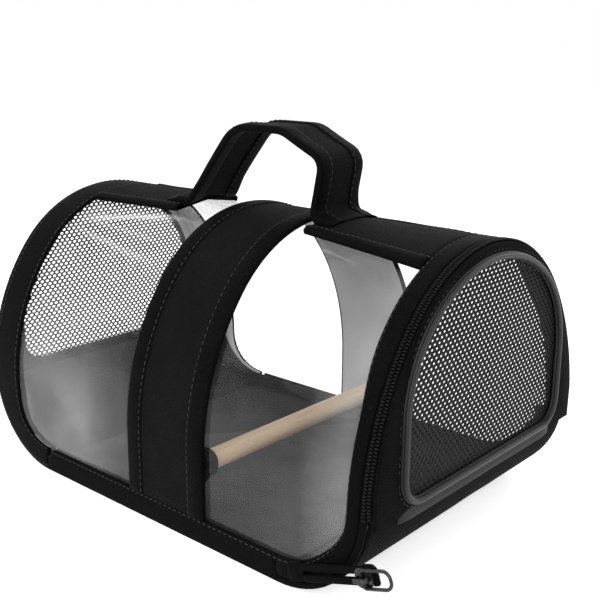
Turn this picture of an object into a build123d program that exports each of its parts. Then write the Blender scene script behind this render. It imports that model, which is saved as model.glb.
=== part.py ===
"""Soft bird travel carrier: a clear tunnel with a zipped mesh door, a hoop band and a strap handle.

Frame: millimetres, +Z up, the ground at Z = 0. +X runs along the tunnel towards the door,
-Y is the side with the zip's tail. The origin is on the ground under the middle of the tunnel.
"""
from build123d import *
from math import atan2, cos, degrees, hypot, radians, sin, sqrt, tan
import os

os.makedirs("parts", exist_ok=True)

# ---------------------------------------------------------------- driving sizes
# Tunnel section, seen along X: straight side walls, then haunch arcs and one crown arc.
body_length = 246.0
body_half_width = 77.5
body_height = 134.5
wall_height = 40.0
haunch_share = 1.164
# Side view: the lower corners sweep up from the flat base to the ends.
corner_radius = 44.0
sill_height = 40.0

# Sheets and bands
cover_thickness = 1.0
base_thickness = 2.0
lining_thickness = 1.2
board_thickness = 2.5
board_margin = 2.0
board_corner_radius = 8.0
lining_clearance = 0.3
band_thickness = 2.0
edge_band_width = 12.0
far_rim_width = 20.0
near_rim_width = 9.0
binding_skin = 0.9
binding_width = 9.5

# Hoop band over the middle
hoop_start = -13.0
hoop_width = 48.0

# Carrying loop of webbing, and the wider strips sewn along the ridge at both sides of it
strap_width = 28.0
strap_thickness = 2.0
strap_binding_width = 7.0
strip_width = 56.0
strip_binding_width = 6.0
far_foot_x = -41.0
near_foot_x = 42.0
loop_height = 40.0
loop_root_depth = 12.0
loop_shoulder_x = -8.0
loop_near_lean = 8.0
shoulder_radius = 24.0
loop_corner_radius = 24.0

# End panels: a D of mesh inside a fabric gusset, with a piped seam
panel_side_border = 17.0
panel_top_border = 4.5
panel_foot_border = 2.0
panel_spring_share = 0.4
panel_haunch_share = 0.94
panel_corner_radius = 12.0
gusset_thickness = 1.8
gusset_lap = 1.0
piping_width = 3.0
piping_height = 2.4
piping_bevel = 0.9
net_thickness = 0.8
net_pitch = 9.0
net_web = 1.3
net_margin = 1.8
net_corner_share = 0.4

# Zip round the door
zip_lane = 3.0
tape_thickness = 1.2
coil_width = 1.6
coil_height = 1.2
zip_gap = 0.3
zip_turn = 20.0
strip_height = 5.5
strip_thickness = 1.8
strip_lap = 8.0

# Zip tail, slider and pull. The tail stands off the lower corner and rises a little
tail_lift = 19.5
tail_root_back = 35.0
tail_root_height = 9.4
tail_length = 46.3
tail_width = 7.5
tail_corner_radius = 2.0
tail_standoff = 1.5
tail_thickness = 1.6
tail_root_length = 6.0
tail_slot = 1.4
tail_slot_start = 8.0
tail_stop = 2.0
slider_length = 8.0
slider_width = 7.8
slider_plate = 1.2
slider_corner_radius = 2.5
slider_clearance = 0.1
slider_inset = 1.5
web_clearance = 0.15
web_length = 3.6
bridge_length = 5.6
bridge_width = 2.0
bridge_bar = 0.9
bridge_opening = 2.3
pull_wire = 1.3
pull_length = 15.0
pull_width = 8.4
pull_heel_radius = 2.2
pull_toe_radius = 3.8
pull_edge = 0.4
pull_clearance = 0.35

# Perch
perch_x = 29.0
perch_height = 35.0
perch_radius = 4.75
perch_chamfer = 0.6
perch_end_gap = 0.4
pocket_wall = 1.75
pocket_depth = 8.0
pocket_back = 1.5
pocket_clearance = 0.05

# ---------------------------------------------------------------- derived places
half_length = body_length / 2
half_strap = strap_width / 2
half_strip = strip_width / 2
half_web = strap_thickness / 2
beyond = 200.0
haunch_radius = haunch_share * (body_height - wall_height)
corner_start = half_length - corner_radius
inner_half_width = body_half_width - cover_thickness
near_lane = zip_lane + near_rim_width
zip_end_x = half_length - zip_turn

panel_half_width = body_half_width - panel_side_border
panel_bottom = sill_height + panel_foot_border
panel_top = body_height - panel_top_border
panel_spring = panel_bottom + panel_spring_share * (panel_top - panel_bottom)
panel_haunch = panel_haunch_share * (panel_top - panel_spring)
net_hole_radius = (net_pitch - net_web) / sqrt(3)

# The tail is drawn on a plane that lies on the front base band: +x along the tail, normal outwards
tail_plane = Plane(
    origin=(half_length - tail_root_back, -body_half_width - band_thickness, tail_root_height),
    x_dir=(cos(radians(tail_lift)), 0, sin(radians(tail_lift))),
    z_dir=(0, -1, 0),
)
bridge_plane = Plane(origin=tail_plane.origin, x_dir=tail_plane.x_dir, z_dir=tail_plane.y_dir)
tail_face = tail_standoff + tail_thickness


def crown_of(half_width, rise, haunch):
    """Radius of the crown arc that runs on smoothly from the haunch arcs."""
    return (haunch**2 - (haunch - half_width) ** 2 - rise**2) / (2 * (haunch - rise))


def arch_outline(half_width, foot, spring, top, haunch, inset):
    """Draw a closed arch outline in the current line block, moved inwards by inset."""
    crown = crown_of(half_width, top - spring, haunch)
    haunch_x = half_width - haunch
    crown_z = top - crown
    reach = hypot(haunch_x, crown_z - spring)
    side = 1 if haunch > crown else -1
    turn = degrees(atan2(side * (crown_z - spring) / reach, -side * haunch_x / reach))
    edge = half_width - inset
    Line((edge, foot), (edge, spring))
    CenterArc((haunch_x, spring), haunch - inset, 0, turn)
    CenterArc((0, crown_z), crown - inset, turn, 180 - 2 * turn)
    CenterArc((-haunch_x, spring), haunch - inset, 180 - turn, turn)
    Line((-edge, spring), (-edge, foot))
    Line((-edge, foot), (edge, foot))


def tunnel_sketch(x, inset=0.0, foot=0.0):
    """Section of the tunnel on the plane at x."""
    with BuildSketch(Plane.YZ.offset(x)) as section:
        with BuildLine():
            arch_outline(body_half_width, foot, wall_height, body_height, haunch_radius, inset)
        make_face()
    return section.sketch


def panel_sketch(x, inset=0.0, gaps=()):
    """The D of an end panel on the plane at x, with a net's gaps cut out of it."""
    with BuildSketch(Plane.YZ.offset(x)) as section:
        with BuildLine():
            arch_outline(panel_half_width, panel_bottom + inset, panel_spring, panel_top, panel_haunch, inset)
        make_face()
        fillet(section.vertices().group_by(Axis.Y)[0], panel_corner_radius - inset)
        if gaps:
            with Locations(*gaps):
                RegularPolygon(net_hole_radius, 6, rotation=90, mode=Mode.SUBTRACT)
    return section.sketch


def side_sketch(inset=0.0):
    """Side view of the carrier: flat base and upswept lower corners, open far above the ridge."""
    height = body_height + beyond - inset
    with BuildSketch(Plane.XZ) as outline:
        with Locations((0, inset + height / 2)):
            Rectangle(body_length - 2 * inset, height)
        fillet(outline.vertices().group_by(Axis.Y)[0], corner_radius - inset)
    return outline.sketch


def slab(x0, x1, z0, z1, mode):
    """Keep or remove what lies between x0 and x1 and between z0 and z1, at every Y."""
    with BuildSketch(Plane.XZ) as window:
        with Locations(((x0 + x1) / 2, (z0 + z1) / 2)):
            Rectangle(x1 - x0, z1 - z0)
    extrude(window.sketch, amount=beyond, both=True, mode=mode)


def between(y0, y1):
    """Keep what lies between y0 and y1 and above the ground."""
    with BuildSketch(Plane.XY) as window:
        with Locations((0, (y0 + y1) / 2)):
            Rectangle(2 * beyond, y1 - y0)
    extrude(window.sketch, amount=2 * beyond, mode=Mode.INTERSECT)


def tunnel_shell(x0, x1, outer, inner):
    """A skin round the tunnel from x0 to x1, between two distances outside the cover."""
    extrude(tunnel_sketch(x0, inset=-outer), amount=x1 - x0)
    extrude(tunnel_sketch(x0, inset=-inner), amount=x1 - x0, mode=Mode.SUBTRACT)


def follow_side(outer, inner=None):
    """Trim to the side view, and cut its middle away where an inner distance is given."""
    extrude(side_sketch(outer), amount=beyond, both=True, mode=Mode.INTERSECT)
    if inner is not None:
        extrude(side_sketch(inner), amount=beyond, both=True, mode=Mode.SUBTRACT)


def finish(builder, name):
    """Label a finished piece and write its file."""
    builder.part.label = name
    export_step(builder.part, f"parts/{name}.step")


# ---------------------------------------------------------------- cover and base
with BuildPart() as clear_cover:
    tunnel_shell(-half_length, half_length, 0, -cover_thickness)
    follow_side(0)
finish(clear_cover, "clear_cover")

with BuildPart() as base_panel:
    extrude(tunnel_sketch(-half_length, inset=cover_thickness), amount=body_length)
    follow_side(0, base_thickness)
    slab(-beyond, beyond, 0, sill_height, Mode.INTERSECT)
finish(base_panel, "base_panel")

with BuildPart() as floor_lining:
    extrude(tunnel_sketch(-half_length, inset=cover_thickness + lining_clearance), amount=body_length)
    follow_side(base_thickness, base_thickness + lining_thickness)
    slab(-beyond, beyond, 0, sill_height, Mode.INTERSECT)
finish(floor_lining, "floor_lining")

with BuildPart() as floor_board:
    with BuildSketch(Plane.XY.offset(base_thickness + lining_thickness)):
        RectangleRounded(2 * corner_start, 2 * (inner_half_width - board_margin), board_corner_radius)
    extrude(amount=board_thickness)
finish(floor_board, "floor_board")

# ---------------------------------------------------------------- edge bands of the tunnel
with BuildPart() as near_rim_band:
    tunnel_shell(-half_length, half_length, band_thickness, 0)
    follow_side(zip_lane, near_lane)
    slab(corner_start, beyond, 0, beyond, Mode.INTERSECT)
finish(near_rim_band, "near_rim_band")

with BuildPart() as far_rim_band:
    tunnel_shell(-half_length, half_length, band_thickness, 0)
    follow_side(0, far_rim_width)
    slab(-beyond, -corner_start, 0, beyond, Mode.INTERSECT)
finish(far_rim_band, "far_rim_band")

for name, side in (("front_base_band", -1), ("rear_base_band", 1)):
    with BuildPart() as base_band:
        tunnel_shell(-half_length, half_length, band_thickness, 0)
        follow_side(0, edge_band_width)
        slab(-corner_start, zip_end_x, 0, wall_height, Mode.INTERSECT)
        split(bisect_by=Plane.XZ, keep=Keep.BOTTOM if side > 0 else Keep.TOP)
        add(near_rim_band.part, mode=Mode.SUBTRACT)
    finish(base_band, name)

# ---------------------------------------------------------------- hoop band
hoop_end = hoop_start + hoop_width
with BuildPart() as hoop_band:
    tunnel_shell(hoop_start, hoop_end, band_thickness, 0)
    slab(-beyond, beyond, edge_band_width, beyond, Mode.INTERSECT)
finish(hoop_band, "hoop_band")

hoop_edges = (
    ("hoop_binding_far", hoop_start - binding_skin, hoop_start + binding_width),
    ("hoop_binding_near", hoop_end - binding_width, hoop_end + binding_skin),
)
for name, x0, x1 in hoop_edges:
    with BuildPart() as hoop_binding:
        tunnel_shell(x0, x1, band_thickness + binding_skin, 0)
        slab(-beyond, beyond, edge_band_width, beyond, Mode.INTERSECT)
        add(hoop_band.part, mode=Mode.SUBTRACT)
    finish(hoop_binding, name)


# ---------------------------------------------------------------- strap: loop and sewn strips
def loop_profile(outside, inside=None):
    """Side view of the loop between two distances from its middle line, or all that it goes round."""
    foot_z = body_height - loop_root_depth
    top_z = body_height + loop_height
    with BuildSketch(Plane.XZ) as profile:
        for reach, mode in ((outside, Mode.ADD), (inside, Mode.SUBTRACT)):
            if reach is None:
                continue
            lean = atan2(loop_shoulder_x - far_foot_x, loop_height)
            near_lean = radians(loop_near_lean)
            rise = top_z + reach - foot_z
            start_x = far_foot_x - reach / cos(lean) - (body_height - foot_z) * tan(lean)
            end_x = near_foot_x + reach / cos(near_lean) - (body_height - foot_z) * tan(near_lean)
            with BuildLine():
                loop = FilletPolyline(
                    (start_x, foot_z),
                    (start_x + rise * tan(lean), top_z + reach),
                    (end_x + rise * tan(near_lean), top_z + reach),
                    (end_x, foot_z),
                    radius=(shoulder_radius + reach, loop_corner_radius + reach),
                )
                Line(loop @ 1, loop @ 0)
            make_face(mode=mode)
    return profile.sketch


def ridge_piece(x0, x1, y0, y1, thickness):
    """A stretch of webbing that lies on the crown between y0 and y1."""
    tunnel_shell(x0, x1, thickness, 0)
    between(y0, y1)
    slab(-beyond, beyond, body_height / 2, beyond, Mode.INTERSECT)
    extrude(loop_profile(half_web + binding_skin), amount=beyond, both=True, mode=Mode.SUBTRACT)


strips = (
    ("top_strip_far", -half_length + far_rim_width, far_foot_x),
    ("top_strip_near", near_foot_x, half_length - near_lane),
)
for name, x0, x1 in strips:
    with BuildPart() as strip:
        ridge_piece(x0, x1, -half_strip, half_strip, strap_thickness)
    finish(strip, name)
    for edge, side in (("front", -1), ("rear", 1)):
        inner_y = side * (half_strip - strip_binding_width)
        outer_y = side * (half_strip + binding_skin)
        with BuildPart() as strip_binding:
            ridge_piece(x0, x1, min(inner_y, outer_y), max(inner_y, outer_y), strap_thickness + binding_skin)
            add(strip.part, mode=Mode.SUBTRACT)
        finish(strip_binding, f"{name}_{edge}_binding")


def loop_piece(y0, y1, reach):
    """The loop between y0 and y1, reach thick each way, ending on the crown of the tunnel."""
    extrude(loop_profile(reach, -reach), amount=beyond, both=True)
    between(y0, y1)
    extrude(tunnel_sketch(-half_length), amount=body_length, mode=Mode.SUBTRACT)


with BuildPart() as handle_strap:
    loop_piece(-half_strap, half_strap, half_web)
finish(handle_strap, "handle_strap")

for edge, side in (("front", -1), ("rear", 1)):
    inner_y = side * (half_strap - strap_binding_width)
    outer_y = side * (half_strap + binding_skin)
    with BuildPart() as handle_binding:
        loop_piece(min(inner_y, outer_y), max(inner_y, outer_y), half_web + binding_skin)
        add(handle_strap.part, mode=Mode.SUBTRACT)
    finish(handle_binding, f"handle_binding_{edge}")


# ---------------------------------------------------------------- end panels
def panel_height_at(y, inset):
    """Height of the D's outline over y, moved inwards by inset."""
    crown = crown_of(panel_half_width, panel_top - panel_spring, panel_haunch)
    haunch_x = panel_half_width - panel_haunch
    haunch = panel_haunch - inset
    on_crown = panel_top - crown + sqrt(max(0.0, (crown - inset) ** 2 - y * y))
    run = max(0.0, abs(y) - haunch_x)
    on_haunch = panel_spring + sqrt(max(0.0, haunch**2 - run**2))
    return min(on_crown, on_haunch)


def net_places():
    """Centres of the net's holes, in rows set half a hole over from each other."""
    places = []
    row_step = net_pitch * sin(radians(60))
    inset = net_margin + net_hole_radius
    rows = int((panel_top - panel_bottom - 2 * inset) / row_step)
    columns = int(panel_half_width / net_pitch) + 1
    for row in range(rows + 1):
        z = panel_bottom + inset + row * row_step
        above_corner = z - panel_bottom - panel_corner_radius
        wide = panel_half_width - inset + net_corner_share * min(0.0, above_corner)
        for column in range(-columns, columns + 1):
            y = (column + 0.5 * (row % 2)) * net_pitch
            if abs(y) <= wide and z <= panel_height_at(y, inset):
                places.append((y, z))
    return places


net_gaps = net_places()
print("gaps in each net:", len(net_gaps))


def gusset_piece(x, foot):
    """Flat fabric ring between the tunnel's rim and the D."""
    extrude(tunnel_sketch(x, inset=-gusset_lap), amount=gusset_thickness)
    slab(-beyond, beyond, foot, beyond, Mode.INTERSECT)
    extrude(panel_sketch(x), amount=gusset_thickness, mode=Mode.SUBTRACT)


def piping_piece(x, outwards):
    """Bead sewn over the seam between the mesh and the gusset, narrower at its crest."""
    extrude(panel_sketch(x, inset=-piping_width / 2), amount=outwards * piping_height)
    bead = extrude(panel_sketch(x, inset=piping_width / 2), amount=outwards * piping_height, mode=Mode.SUBTRACT)
    crest = bead.faces().sort_by(Axis.X)[-1 if outwards > 0 else 0]
    chamfer(crest.edges(), piping_bevel)


far_face = -half_length - gusset_thickness
net_set = (gusset_thickness - net_thickness) / 2
with BuildPart() as far_gusset:
    gusset_piece(far_face, sill_height)
finish(far_gusset, "far_gusset")

with BuildPart() as far_net:
    extrude(panel_sketch(far_face + net_set, gaps=net_gaps), amount=net_thickness)
finish(far_net, "far_net")

with BuildPart() as far_piping:
    piping_piece(far_face, -1)
finish(far_piping, "far_piping")

door_face = half_length + zip_gap + tape_thickness
door_foot = sill_height + zip_gap
with BuildPart() as door_gusset:
    gusset_piece(door_face, door_foot)
finish(door_gusset, "door_gusset")

with BuildPart() as door_net:
    extrude(panel_sketch(door_face + net_set, gaps=net_gaps), amount=net_thickness)
finish(door_net, "door_net")

with BuildPart() as door_piping:
    piping_piece(door_face + gusset_thickness, 1)
finish(door_piping, "door_piping")

# Sewn strips along the foot of each end panel; the near one is the door's fabric hinge
strip_ends = (
    ("door_hinge_strip", half_length - strip_lap, door_face + strip_thickness - zip_gap),
    ("far_sill_strip", -half_length - strip_thickness, -half_length + strip_lap),
)
for name, x0, x1 in strip_ends:
    with BuildPart() as sill_strip:
        with BuildSketch(Plane.XZ):
            with Locations(((x0 + x1) / 2, sill_height - strip_height / 2)):
                Rectangle(x1 - x0, strip_height)
        extrude(amount=panel_half_width, both=True)
        extrude(side_sketch(), amount=beyond, both=True, mode=Mode.SUBTRACT)
    finish(sill_strip, name)

# ---------------------------------------------------------------- zip
with BuildPart() as zip_tape_body:
    tunnel_shell(zip_end_x, half_length, tape_thickness, 0)
    follow_side(0, zip_lane)
finish(zip_tape_body, "zip_tape_body")

with BuildPart() as zip_coil_body:
    tunnel_shell(half_length - coil_width, half_length, tape_thickness + coil_height, tape_thickness)
    slab(-beyond, beyond, door_foot, beyond, Mode.INTERSECT)
finish(zip_coil_body, "zip_coil_body")

door_tape_x = half_length + zip_gap
with BuildPart() as zip_tape_door:
    tunnel_shell(door_tape_x, door_face, tape_thickness, -zip_lane)
    slab(-beyond, beyond, door_foot, beyond, Mode.INTERSECT)
    extrude(panel_sketch(door_tape_x), amount=tape_thickness, mode=Mode.SUBTRACT)
finish(zip_tape_door, "zip_tape_door")

with BuildPart() as zip_coil_door:
    tunnel_shell(door_tape_x, door_tape_x + coil_width, tape_thickness + coil_height, tape_thickness)
    slab(-beyond, beyond, door_foot, beyond, Mode.INTERSECT)
finish(zip_coil_door, "zip_coil_door")

# Free tail of the zip past the front corner, slit along its middle for the slider
with BuildPart() as zip_tail:
    with BuildSketch(tail_plane):
        with Locations((tail_root_length / 2, 0)):
            RectangleRounded(tail_root_length, tail_width, tail_corner_radius)
    extrude(amount=tail_face)
    with BuildSketch(tail_plane.offset(tail_standoff)):
        with Locations((tail_length / 2, 0)):
            RectangleRounded(tail_length, tail_width, tail_corner_radius)
        with Locations(((tail_slot_start + tail_length - tail_stop) / 2, 0)):
            Rectangle(tail_length - tail_stop - tail_slot_start, tail_slot, mode=Mode.SUBTRACT)
    extrude(amount=tail_thickness)
finish(zip_tail, "zip_tail")

slider_place = tail_length - slider_inset - slider_length / 2
slider_back = tail_standoff - slider_clearance - slider_plate
bridge_foot = tail_face + slider_clearance + slider_plate
with BuildPart() as zip_slider:
    for start in (tail_face + slider_clearance, slider_back):
        with BuildSketch(tail_plane.offset(start)):
            with Locations((slider_place, 0)):
                RectangleRounded(slider_length, slider_width, slider_corner_radius)
        extrude(amount=slider_plate)
    with BuildSketch(tail_plane.offset(slider_back + slider_plate / 2)):
        with Locations((slider_place, 0)):
            Rectangle(web_length, tail_slot - 2 * web_clearance)
    extrude(amount=tail_thickness + 2 * slider_clearance + slider_plate)
    with BuildSketch(bridge_plane.offset(-bridge_width / 2)):
        with Locations((slider_place, -(bridge_foot + (bridge_opening + bridge_bar) / 2))):
            Rectangle(bridge_length, bridge_opening + bridge_bar)
        with Locations((slider_place, -(bridge_foot + bridge_opening / 2))):
            Rectangle(bridge_length - 2 * bridge_bar, bridge_opening, mode=Mode.SUBTRACT)
    extrude(amount=bridge_width)
finish(zip_slider, "zip_slider")

with BuildPart() as pull_ring:
    with BuildSketch(tail_plane.offset(bridge_foot + pull_clearance)):
        with BuildLine():
            heel = slider_place - pull_wire / 2
            FilletPolyline(
                (heel, -pull_width / 2),
                (heel + pull_length, -pull_width / 2),
                (heel + pull_length, pull_width / 2),
                (heel, pull_width / 2),
                radius=(pull_heel_radius, pull_toe_radius, pull_toe_radius, pull_heel_radius),
                close=True,
            )
        ring_face = make_face()
        offset(ring_face, amount=-pull_wire, mode=Mode.SUBTRACT)
    extrude(amount=pull_wire)
    chamfer(pull_ring.edges().filter_by(Plane.XZ), pull_edge)
finish(pull_ring, "pull_ring")

# ---------------------------------------------------------------- perch
perch_half = inner_half_width - pocket_back - perch_end_gap
with BuildPart() as perch:
    with BuildSketch(Plane.XZ.offset(-perch_half)):
        with Locations((perch_x, perch_height)):
            Circle(perch_radius)
    extrude(amount=2 * perch_half)
    chamfer(perch.edges().filter_by(GeomType.CIRCLE), perch_chamfer)
finish(perch, "perch")

for name, side in (("perch_pocket_front", -1), ("perch_pocket_rear", 1)):
    mouth = inner_half_width - pocket_depth
    bottom = inner_half_width - pocket_back
    with BuildPart() as pocket:
        with BuildSketch(Plane.XZ.offset(-side * mouth)):
            with Locations((perch_x, perch_height)):
                Rectangle(2 * (perch_radius + pocket_wall), 2 * (perch_radius + pocket_wall))
        extrude(amount=-side * 2 * pocket_depth)
        with BuildSketch(Plane.XZ.offset(-side * mouth)):
            with Locations((perch_x, perch_height)):
                Circle(perch_radius + pocket_clearance)
        extrude(amount=-side * (bottom - mouth), mode=Mode.SUBTRACT)
        extrude(tunnel_sketch(-half_length, inset=cover_thickness), amount=body_length, mode=Mode.INTERSECT)
    finish(pocket, name)
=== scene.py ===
"""Looks of the soft bird travel carrier: clear film, bound webbing, hexagonal mesh, zip and wooden perch.

Every length in the helpers is in millimetres, in the frame of the solids, and meshes are written in metres.
"""
from math import atan2, ceil, cos, floor, hypot, pi, radians, sin, sqrt

import bpy
from mathutils import Matrix, Vector, noise


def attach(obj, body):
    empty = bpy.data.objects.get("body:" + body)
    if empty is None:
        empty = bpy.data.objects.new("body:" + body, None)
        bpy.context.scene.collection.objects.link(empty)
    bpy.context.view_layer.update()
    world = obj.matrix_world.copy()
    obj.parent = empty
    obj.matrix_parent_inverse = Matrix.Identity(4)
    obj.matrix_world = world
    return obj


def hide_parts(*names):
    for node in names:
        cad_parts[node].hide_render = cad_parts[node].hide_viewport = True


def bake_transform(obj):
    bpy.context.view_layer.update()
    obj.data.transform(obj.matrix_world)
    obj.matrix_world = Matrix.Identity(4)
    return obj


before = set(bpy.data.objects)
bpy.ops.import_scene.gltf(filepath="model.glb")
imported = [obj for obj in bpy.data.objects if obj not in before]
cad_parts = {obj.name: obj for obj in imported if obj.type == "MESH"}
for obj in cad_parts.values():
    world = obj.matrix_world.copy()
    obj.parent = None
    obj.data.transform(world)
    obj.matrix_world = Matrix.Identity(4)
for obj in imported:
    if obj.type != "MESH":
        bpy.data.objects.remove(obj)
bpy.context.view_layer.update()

MM = 0.001

# ---------------------------------------------------------------- the tunnel, unrolled
# x runs along the tunnel, s up the front side, over the ridge and down the rear side, d outwards from the film.
HALF, WIDE, TALL, WALL, CORNER = 123.0, 77.5, 134.5, 40.0, 44.0
FLAT = HALF - CORNER
HAUNCH = 1.164 * (TALL - WALL)
HAUNCH_Y = WIDE - HAUNCH


def crown_of(half_width, rise, haunch):
    return (haunch**2 - (haunch - half_width) ** 2 - rise**2) / (2 * (haunch - rise))


CROWN = crown_of(WIDE, TALL - WALL, HAUNCH)
CROWN_Z = TALL - CROWN
TURN = atan2(CROWN_Z - WALL, -HAUNCH_Y)
RUN_HAUNCH = HAUNCH * TURN
RUN_CROWN = CROWN * (pi - 2 * TURN)
GIRTH = 2 * (WALL + RUN_HAUNCH) + RUN_CROWN
RIDGE = GIRTH / 2


def section(s):
    """Point and outward normal of the section, s up from the front foot."""
    if s > RIDGE:
        y, z, ny, nz = section(GIRTH - s)
        return -y, z, -ny, nz
    if s < WALL:
        return -WIDE, s, -1.0, 0.0
    if s < WALL + RUN_HAUNCH:
        a = pi - (s - WALL) / HAUNCH
        return -HAUNCH_Y + HAUNCH * cos(a), WALL + HAUNCH * sin(a), cos(a), sin(a)
    a = pi - TURN - (s - WALL - RUN_HAUNCH) / CROWN
    return CROWN * cos(a), CROWN_Z + CROWN * sin(a), cos(a), sin(a)


def on(x, s, d):
    y, z, ny, nz = section(s)
    return Vector((x, y + ny * d, z + nz * d))


def clear_of(y, z):
    """How far a point of an end plane lies outside the section."""
    y = abs(y)
    if z < WALL:
        return y - WIDE
    if atan2(z - WALL, y - HAUNCH_Y) < TURN:
        return hypot(y - HAUNCH_Y, z - WALL) - HAUNCH
    return hypot(y, z - CROWN_Z) - CROWN


def smooth(a, b, v):
    t = min(1.0, max(0.0, (v - a) / (b - a)))
    return t * t * (3 - 2 * t)


def rough(x, y, z=0.0, size=30.0):
    return noise.noise(Vector((x / size, y / size, z)))


# ---------------------------------------------------------------- meshes
def make(name, verts, faces, uvs, material, body, stands_for=(), slot=None, soft=True):
    """One object from points in millimetres; uvs are in metres, one per face corner."""
    mesh = bpy.data.meshes.new(name)
    mesh.from_pydata([tuple(Vector(v) * MM) for v in verts], [], faces)
    if uvs:
        layer = mesh.uv_layers.new(name="UVMap")
        flat = [c for face in uvs for uv in face for c in uv]
        layer.data.foreach_set("uv", flat)
    mesh.polygons.foreach_set("use_smooth", [soft] * len(mesh.polygons))
    mesh.validate()
    mesh.update()
    piece = bpy.data.objects.new(name, mesh)
    bpy.context.scene.collection.objects.link(piece)
    piece.data.materials.append(material)
    if body:
        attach(piece, body)
    if stands_for:
        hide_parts(*stands_for)
    return piece


class Bag:
    """Points, faces and uvs that several shapes add to before they become one piece."""

    def __init__(self):
        self.verts, self.faces, self.uvs = [], [], []

    def add(self, verts, faces, uvs):
        start = len(self.verts)
        self.verts += verts
        self.faces += [tuple(i + start for i in f) for f in faces]
        self.uvs += uvs

    def piece(self, name, material, body, stands_for=(), slot=None, soft=True):
        return make(name, self.verts, self.faces, self.uvs, material, body, stands_for, slot, soft)


def sweep(bag, stations, profile, place, loop=False):
    """A closed profile of (u, d) carried along stations; place(station, u, d) gives each point."""
    n, m = len(profile), len(stations)
    verts = [place(st, u, d) for st in stations for u, d in profile]
    across = [0.0]
    for j in range(n):
        (u0, d0), (u1, d1) = profile[j], profile[(j + 1) % n]
        across.append(across[-1] + hypot(u1 - u0, d1 - d0) * MM)
    along = [0.0]
    for k in range(m):
        k1 = (k + 1) % m
        along.append(along[-1] + (verts[k1 * n] - verts[k * n]).length * MM)
    faces, uvs = [], []
    for k in range(m if loop else m - 1):
        k1 = (k + 1) % m
        for j in range(n):
            j1 = (j + 1) % n
            faces.append((k * n + j, k * n + j1, k1 * n + j1, k1 * n + j))
            uvs.append(
                ((across[j], along[k]), (across[j + 1], along[k]), (across[j + 1], along[k + 1]), (across[j], along[k + 1]))
            )
    if not loop:
        for ring in (list(range(n))[::-1], [(m - 1) * n + j for j in range(n)]):
            faces.append(tuple(ring))
            uvs.append(tuple((profile[i % n][0] * MM, profile[i % n][1] * MM) for i in ring))
    bag.add(verts, faces, uvs)


def tape(u0, u1, d0, d1, edge=0.7, crown=0.2, cuts=6):
    """Profile of a flat tape, rounded at its edges and slightly crowned."""
    top = [(u1 - edge + (u0 - u1 + 2 * edge) * i / cuts, 2 * i / cuts - 1) for i in range(cuts + 1)]
    points = [(u0 + 0.3 * edge, d0), ((u0 + u1) / 2, d0), (u1 - 0.3 * edge, d0), (u1, d0 + 0.3 * edge)]
    points += [(u1, d1 - crown - edge), (u1 - 0.3 * edge, d1 - crown - 0.3 * edge)]
    points += [(u, d1 - crown * t * t) for u, t in top]
    points += [(u0 + 0.3 * edge, d1 - crown - 0.3 * edge), (u0, d1 - crown - edge), (u0, d0 + 0.3 * edge)]
    return points


def grid(bag, nu, nv, place, wrap=False, skins=2):
    """A sheet, closed where it has two skins: place(i / nu, j / nv, side), side 1 outside and 0 inside."""
    row = nv + 1
    cols = nu if wrap else nu + 1
    verts = []
    for side in (1, 0)[:skins]:
        for i in range(cols):
            for j in range(row):
                verts.append(place(i / nu, j / nv, side))
    layer = cols * row
    su = [0.0]
    for i in range(nu):
        mid = nv // 2
        su.append(su[-1] + (verts[((i + 1) % cols) * row + mid] - verts[i * row + mid]).length * MM)
    mid = (cols // 2) * row
    sv = [0.0]
    for j in range(nv):
        sv.append(sv[-1] + (verts[mid + j + 1] - verts[mid + j]).length * MM)
    faces, uvs = [], []
    for i in range(nu):
        i1 = (i + 1) % cols
        for j in range(nv):
            a, b, c, d = i * row + j, i1 * row + j, i1 * row + j + 1, i * row + j + 1
            t = ((su[i], sv[j]), (su[i + 1], sv[j]), (su[i + 1], sv[j + 1]), (su[i], sv[j + 1]))
            faces.append((a, b, c, d))
            uvs.append(t)
            if skins > 1:
                faces.append((layer + d, layer + c, layer + b, layer + a))
                uvs.append((t[3], t[2], t[1], t[0]))
    rim = []
    for i in range(nu if skins > 1 else 0):
        i1 = (i + 1) % cols
        rim.append((i * row, layer + i * row, layer + i1 * row, i1 * row))
        rim.append((i1 * row + nv, layer + i1 * row + nv, layer + i * row + nv, i * row + nv))
    if skins > 1 and not wrap:
        for j in range(nv):
            rim.append((j + 1, layer + j + 1, layer + j, j))
            e = nu * row
            rim.append((e + j, layer + e + j, layer + e + j + 1, e + j + 1))
    for f in rim:
        faces.append(f)
        uvs.append(((0, 0), (0.001, 0), (0.001, 0.001), (0, 0.001)))
    bag.add(verts, faces, uvs)


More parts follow.
